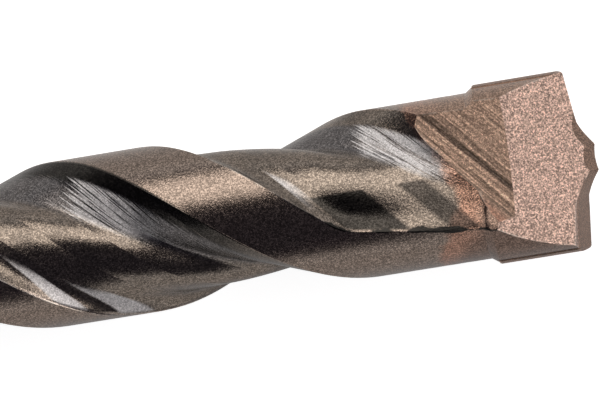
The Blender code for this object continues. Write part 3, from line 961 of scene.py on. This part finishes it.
def blasted_steel(finish):
    """Body steel: blasted grain, oxide and wheel marks in the flutes, heat tint and worn edges, with painted
    shade and painted highlights in the flutes and on the edges.
    """
    tree = new_material("body_steel")
    grain, wear_and_highlight = blasted(tree, finish.grain_size, amount=0.7)
    place = place_in_head(tree)
    ahead, across = place["Ahead"], place["Across"]
    marks = effect(tree, "Grinding lines", Ahead=ahead, Facet_Width=FACET_WIDTH)
    tint = effect(tree, "Heat tint", Ahead=ahead, Across=across, Border=HEAT_BORDER, Width=HEAT_WIDTH)
    wall, foot, inside = [attribute(tree, name) for name in ("wall", "foot", "inside")]
    lines, fleck, glint, blotch = marks["Lines"], grain["Fleck"], grain["Glint"], grain["Blotch"]

    # Where each mark lies
    in_flute = inside.rising(0.0, 0.15)
    behind_head = in_flute * ahead.falling(-17.0, -14.5)
    on_wall = wall.rising(1.0, 1.4) * wall.falling(3.2, 4.4) * in_flute
    # Painted shade: a dark band on the flute wall just past each leading edge, faint in the head
    rim = in_flute * (wall + (lines - 0.5) * 2.2).falling(1.2, 1.6) * ahead.falling(-22.0, -15.0, 0.10)
    streaks = lines.rising(0.42, 0.51) * marks["Fan"] * on_wall
    # Painted shade: dark bands across the flute floor in the head
    bands = place["Cross"].ramp(FLOOR_PAINTED_SHADE) * across.falling(0.2, 0.4) * in_flute
    # Painted highlights in the flute beside each trailing edge, behind the head
    foot_painted_highlight = marks["Phase"].ramp(FOOT_PAINTED_HIGHLIGHTS) * foot.falling(1.0, 1.7) * behind_head
    oxide = in_flute * blotch.rising(0.42, 0.62)
    # Worn edges, partly a painted highlight, faint in the head
    worn = wear_and_highlight * ahead.falling(-15.0, -13.0, 0.15)
    # Painted shade: a dark, ragged line along each trailing edge in the head
    trailing_edge_painted_shade = (maths("ABSOLUTE", foot) + blotch * 0.9).falling(0.47, 0.54) * ahead.rising(-17.0, -14.0)

    # From the steel itself up to what lies on it, with painted shade and painted highlights laid in among it
    colour = mix(in_flute, finish.land, mix(oxide * 0.25, finish.steel, finish.steel_dark))
    # Painted shade on the steep flute walls: darker and cooler
    colour = mix(on_wall * 0.8, colour, finish.wall)
    # Heat tint, with painted shade: darker brown towards negative Across, copper towards positive Across
    colour = mix(tint["Tint"] * 0.8, colour, mix(
        across.rising(-3.5, 3.5), finish.heat_tint_painted_shade, finish.heat_tint))
    colour = mix(tint["Band"] * 0.6, colour, finish.heat_band)
    # Painted shade: the dark bands on the flute floor in the head
    colour = mix(bands * 0.95, colour, finish.painted_shade)
    # Painted shade: the dark band past each leading edge
    colour = mix(rim * 0.95, colour, finish.painted_shade)
    colour = glint.tinting(colour, 0.52, 2.0)
    bright = fleck.tinting(finish.scratch_and_highlight_steel, 0.6, 1.35)
    colour = mix(streaks * 0.95, colour, bright)
    # Painted highlight beside the trailing edges
    colour = mix(foot_painted_highlight, colour, bright)
    # Worn edges, partly a painted highlight
    colour = mix(worn, colour, finish.steel_worn_and_highlight)
    # Painted shade along the trailing edges in the head
    colour = mix(trailing_edge_painted_shade, colour, finish.painted_shade)
    scratches_and_highlight = maths("MAXIMUM", streaks, foot_painted_highlight)
    rough = fleck.spread(0.0, 1.0, 0.17, 0.27) + scratches_and_highlight * 0.35
    height = grain["Height"] + lines * on_wall * 2.0 + marks["Facets"] * behind_head * 5.0
    finish_metal(tree, colour, rough, height, 0.010 * MM, scratches_and_highlight.falling(0.0, 1.0, 0.3))


def gash_steel(finish):
    """The ground face across the plate and the steel beside it: pinkish, with a coarse blasted grain."""
    tree = new_material("gash_face_steel")
    grain, wear_and_highlight = blasted(tree, finish.coarse_grain_size)
    colour = grain["Glint"].tinting(finish.gash, 0.35, 2.6)
    colour = grain["Blotch"].tinting(colour, 0.85, 1.10)
    # Worn edges, partly a painted highlight
    colour = mix(wear_and_highlight, colour, finish.steel_worn_and_highlight)
    rough = grain["Fleck"].spread(0.0, 1.0, 0.36, 0.52)
    finish_metal(tree, colour, rough, grain["Height"], 0.025 * MM, 0.8)


def gullet_steel(finish):
    """The gullet's floor: light and dark stripes along the wheel's path over a coarse grain."""
    tree = new_material("gullet_steel")
    grain, wear_and_highlight = blasted(tree, finish.coarse_grain_size)
    place = place_in_head(tree)
    cross = place["Cross"]
    lines = noise(plane_point(cross * 6.5, place["Run"] * 0.25), 1.0, 3.0, 0.6)
    stripes = (cross + (lines - 0.5) * 0.35).ramp(GULLET_STRIPES)
    colour = mix(cross.falling(-5.1, -4.6), finish.gullet, finish.heat_band)
    colour = stripes.tinting(colour, 0.06, 2.10)
    colour = lines.rising(0.35, 0.65).tinting(colour, 0.7, 1.25)
    colour = grain["Glint"].tinting(colour, 0.55, 1.75)
    # Worn edges, partly a painted highlight
    colour = mix(wear_and_highlight, colour, finish.steel_worn_and_highlight)
    rough = grain["Fleck"].spread(0.0, 1.0, 0.44, 0.58)
    finish_metal(tree, colour, rough, grain["Height"] + lines * 2.0, 0.020 * MM, 0.45)


# Grain of the carbide and of the braze, as shares of the steel's
CARBIDE_GRAIN = 0.85
BRAZE_GRAIN = 0.7


def sintered_carbide(finish):
    """Carbide: fine bright grain, lighter on its edges, where wear and a painted highlight lie."""
    tree = new_material("plate_carbide")
    grain, wear_and_highlight = blasted(tree, CARBIDE_GRAIN * finish.grain_size, thinness=6.0, amount=0.7)
    colour = mix(wear_and_highlight, grain["Glint"].tinting(finish.carbide, 0.45, 2.1), finish.steel_worn_and_highlight)
    rough = grain["Fleck"].spread(0.0, 1.0, 0.36, 0.50)
    finish_metal(tree, colour, rough, grain["Height"], 0.030 * MM)


def braze_metal(finish):
    """Braze: a fine, copper-coloured grain."""
    tree = new_material("braze_seam")
    grain = effect(tree, "Blasted grain", Grain_Size=BRAZE_GRAIN * finish.grain_size / MM)
    colour = grain["Fleck"].tinting(finish.braze, 0.6, 1.4)
    rough = grain["Fleck"].spread(0.0, 1.0, 0.32, 0.5)
    finish_metal(tree, colour, rough, grain["Height"], 0.008 * MM)


# How far below the plate the steel and the seam are ground, as shares of the braze's gap
STEEL_TIP_SUNK = 0.25
SEAM_TIP_SUNK = 0.125
SEAM_FACE_SUNK = 0.0625
# How far the seam stands back from the plate's round side, as a share of the plate's stand
SEAM_BACK = 0.7


def materials_of(*names):
    return [bpy.data.materials[name] for name in names]


class DRILLBIT_OT_finishes(bpy.types.Operator):
    """Makes the shared effects and the five metals"""

    bl_idname = "drillbit.finishes"
    bl_label = "Make Finishes"

    def execute(self, context):
        finish = context.scene.drill_finish
        groups = (
            blasted_grain_group,
            edge_wear_and_highlight_group,
            grinding_group,
            head_place_group,
            heat_tint_group,
        )
        for make in groups:
            make()
        for make in (blasted_steel, gash_steel, gullet_steel, sintered_carbide, braze_metal):
            make(finish)
        return {"FINISHED"}


class DRILLBIT_OT_steel_body(bpy.types.Operator):
    """Makes the fluted steel body with its slots and gashes"""

    bl_idname = "drillbit.steel_body"
    bl_label = "Make Steel Body"

    def execute(self, context):
        body, cuts = context.scene.drill_body, context.scene.drill_cuts
        steel, gash, gullet = materials_of("body_steel", "gash_face_steel", "gullet_steel")
        blank = fluted_blank(body, cuts, steel)
        half = cuts.plate_thickness / 2 + cuts.braze_gap
        low = (corner_x() - cuts.plate_side - cuts.braze_gap, -cuts.reach, -half)
        high = (corner_x() + cuts.reach, cuts.reach, half)
        cutters = [
            block("plate_slot", low, high, Matrix.Identity(4), steel),
            tip_cutter(cuts, cuts.braze_gap * STEEL_TIP_SUNK, gash),
        ]
        for side in (0, 1):
            cutters += [
                face_cutter(cuts, side, gash),
                gullet_cutter(cuts, side, gullet),
                drive_cutter(body, cuts, side, steel),
                lock_cutter(body, cuts, side, steel),
            ]
        cut_all(blank, cutters)
        mark_edges(blank.data, cuts)
        mark_flutes(blank.data, body)
        shade(blank.data, SHARP_ANGLE)
        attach(blank, "root")
        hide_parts("steel_body")
        return {"FINISHED"}


class DRILLBIT_OT_carbide_plate(bpy.types.Operator):
    """Makes the carbide plate: a slab of a round bar, ground to the tip and the two gash faces"""

    bl_idname = "drillbit.carbide_plate"
    bl_label = "Make Carbide Plate"

    def execute(self, context):
        cuts = context.scene.drill_cuts
        carbide, gash = materials_of("plate_carbide", "gash_face_steel")
        start = corner_x() - cuts.plate_side
        plate = round_bar("carbide_plate_form", cuts, cuts.plate_radius, start, carbide)
        cutters = slab_cutters(cuts, cuts.plate_thickness / 2, carbide)
        cutters += [tip_cutter(cuts, 0.0, carbide)]
        cutters += [face_cutter(cuts, side, gash) for side in (0, 1)]
        cut_all(plate, cutters)
        mark_edges(plate.data, cuts)
        shade(plate.data, SHARP_ANGLE)
        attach(plate, "root")
        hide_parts("carbide_plate")
        return {"FINISHED"}


class DRILLBIT_OT_braze_seam(bpy.types.Operator):
    """Fills the thin gap between the plate and its slot with braze"""

    bl_idname = "drillbit.braze_seam"
    bl_label = "Make Braze Seam"

    def execute(self, context):
        body, cuts = context.scene.drill_body, context.scene.drill_cuts
        braze, gash = materials_of("braze_seam", "gash_face_steel")
        gap = cuts.braze_gap
        half = cuts.plate_thickness / 2
        seat = corner_x() - cuts.plate_side
        radius = cuts.plate_radius - SEAM_BACK * body.plate_proud
        seam = round_bar("braze_seam", cuts, radius, seat - gap, braze)
        plate_space = block(
            "plate_space",
            (seat, -cuts.reach, -half),
            (corner_x() + cuts.reach, cuts.reach, half),
            Matrix.Identity(4),
            braze,
        )
        cutters = slab_cutters(cuts, half + gap, braze)
        cutters += [plate_space, tip_cutter(cuts, gap * SEAM_TIP_SUNK, gash)]
        cutters += [face_cutter(cuts, side, gash, sunk=gap * SEAM_FACE_SUNK) for side in (0, 1)]
        cut_all(seam, cutters)
        shade(seam.data, SHARP_ANGLE)
        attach(seam, "root")
        return {"FINISHED"}


class DRILLBIT_OT_studio(bpy.types.Operator):
    """Sets the floor, the lamps, the world and the camera"""

    bl_idname = "drillbit.studio"
    bl_label = "Make Studio"

    def execute(self, context):
        studio = context.scene.drill_studio
        make_floor(studio)
        make_lamps(studio)
        make_world(context.scene)
        make_camera(context.scene, studio)
        context.scene.view_settings.view_transform = "Standard"
        return {"FINISHED"}


# How much of the floor's glow the bit mirrors
FLOOR_MIRRORED = 0.25


def make_floor(studio):
    """A pale floor, which the camera sees brighter than the bit does, so that its shadow stays faint."""
    bm = bmesh.new()
    bmesh.ops.create_grid(bm, x_segments=1, y_segments=1, size=studio.floor_size)
    bmesh.ops.translate(bm, verts=bm.verts, vec=(0.0, 0.0, CAD_BOX[0][2]))
    tree = new_material("floor_paper")
    rays = add_node(tree, "ShaderNodeLightPath").outputs
    camera, glossy, through = [Value(rays[f"Is {kind} Ray"]) for kind in ("Camera", "Glossy", "Transmission")]
    seen = maths("MAXIMUM", camera, maths("MAXIMUM", glossy, through) * FLOOR_MIRRORED)
    set_shader(tree, {
        "Base Color": studio.floor_colour,
        "Roughness": 0.9,
        "Specular IOR Level": 0.0,
        "Emission Color": (1.0, 1.0, 1.0),
        "Emission Strength": seen * studio.floor_glow,
    })
    [paper] = materials_of("floor_paper")
    finished_object("studio_floor", bm, paper, recalculate=False)


# The softboxes: width and depth in metres, radiance and colour
KEY_LAMP = (0.75, 0.37, 2.2, (1.0, 0.95, 0.88))
TIP_LAMP = (0.34, 0.34, 2.75, (1.0, 0.95, 0.91))
# The key lamp stands round the bit's axis, from +Y up to +Z, and the tip lamp beyond the tip
KEY_TURN = math.radians(44.5)
KEY_DISTANCE = 0.5
TIP_OFFSET = (0.42, 0.04, 0.36)


def area_lamp(name, place, aim, kind):
    """A rectangular softbox, turned towards a point."""
    width, depth, radiance, colour = kind
    light = bpy.data.lights.new(name, "AREA")
    light.shape = "RECTANGLE"
    light.size = width
    light.size_y = depth
    light.energy = radiance * math.pi * width * depth
    light.color = colour
    lamp = bpy.data.objects.new(name, light)
    bpy.context.scene.collection.objects.link(lamp)
    lamp.location = place
    lamp.rotation_euler = (aim - place).to_track_quat("-Z", "Y").to_euler()


def make_lamps(studio):
    aim = Vector((corner_x() - studio.view_back, 0.0, 0.0))
    key_side = KEY_DISTANCE * Vector((0.0, math.cos(KEY_TURN), math.sin(KEY_TURN)))
    area_lamp("key_softbox", aim + key_side, aim, KEY_LAMP)
    area_lamp("tip_softbox", aim + Vector(TIP_OFFSET), aim, TIP_LAMP)


# The world's two tones, and how high the second begins and is reached
HORIZON = (0.92, 0.92, 0.92)
CEILING = (0.046, 0.044, 0.058)
CEILING_RISE = (0.03, 0.38)


def make_world(scene):
    """A pale horizon under a dark ceiling."""
    world = bpy.data.worlds.new("studio_world")
    scene.world = world
    world.use_nodes = True
    tree = world.node_tree
    back = tree.nodes["Background"]
    where = Value(add_node(tree, "ShaderNodeTexCoord").outputs["Generated"])
    high = split_place(where)[2].rising(*CEILING_RISE)
    plug(mix(high, HORIZON, CEILING), back.inputs["Color"])
    plug(1.0, back.inputs["Strength"])
    arrange(tree)


SENSOR_WIDTH = 36.0


def make_camera(scene, studio):
    camera = bpy.data.objects.new("camera", bpy.data.cameras.new("camera"))
    scene.collection.objects.link(camera)
    target = Vector((corner_x() - studio.view_back, studio.view_across, 0.0))
    turn, roll = studio.view_turn, studio.view_roll
    backward = Vector((math.sin(turn), 0.0, math.cos(turn)))
    along = Vector((math.cos(turn), 0.0, -math.sin(turn)))
    across = Vector((0.0, 1.0, 0.0))
    right = along * math.cos(roll) - across * math.sin(roll)
    up = along * math.sin(roll) + across * math.cos(roll)
    axes = Matrix((right, up, backward)).transposed().to_4x4()
    camera.matrix_world = Matrix.Translation(target + backward * studio.view_distance) @ axes
    camera.data.sensor_width = SENSOR_WIDTH
    camera.data.lens = SENSOR_WIDTH * studio.view_distance / studio.view_width
    camera.data.clip_start = 0.01
    camera.data.clip_end = 20.0
    scene.camera = camera


class DRILLBIT_PT_sidebar(bpy.types.Panel):
    """Lists the drill bit's operators and sizes"""

    bl_idname = "DRILLBIT_PT_sidebar"
    bl_label = "Drill Bit"
    bl_space_type = "VIEW_3D"
    bl_region_type = "UI"
    bl_category = "Drill Bit"

    def draw(self, context):
        for operator in OPERATORS:
            self.layout.operator(operator.bl_idname)
        for group in (context.scene.drill_finish, context.scene.drill_studio):
            box = self.layout.box()
            for name in group.__annotations__:
                box.prop(group, name)


OPERATORS = (
    DRILLBIT_OT_finishes,
    DRILLBIT_OT_steel_body,
    DRILLBIT_OT_carbide_plate,
    DRILLBIT_OT_braze_seam,
    DRILLBIT_OT_studio,
)
GROUPS = {
    "drill_body": DRILLBIT_PG_body,
    "drill_cuts": DRILLBIT_PG_cuts,
    "drill_finish": DRILLBIT_PG_finish,
    "drill_studio": DRILLBIT_PG_studio,
}


def register():
    for kind in (*GROUPS.values(), *OPERATORS, DRILLBIT_PT_sidebar):
        bpy.utils.register_class(kind)
    for name, kind in GROUPS.items():
        setattr(bpy.types.Scene, name, bpy.props.PointerProperty(type=kind))


def unregister():
    for name in GROUPS:
        delattr(bpy.types.Scene, name)
    for kind in reversed((*GROUPS.values(), *OPERATORS, DRILLBIT_PT_sidebar)):
        bpy.utils.unregister_class(kind)


def main():
    register()
    bpy.ops.drillbit.finishes()
    bpy.ops.drillbit.steel_body()
    bpy.ops.drillbit.carbide_plate()
    bpy.ops.drillbit.braze_seam()
    bpy.ops.drillbit.studio()


if __name__ == "__main__":
    main()
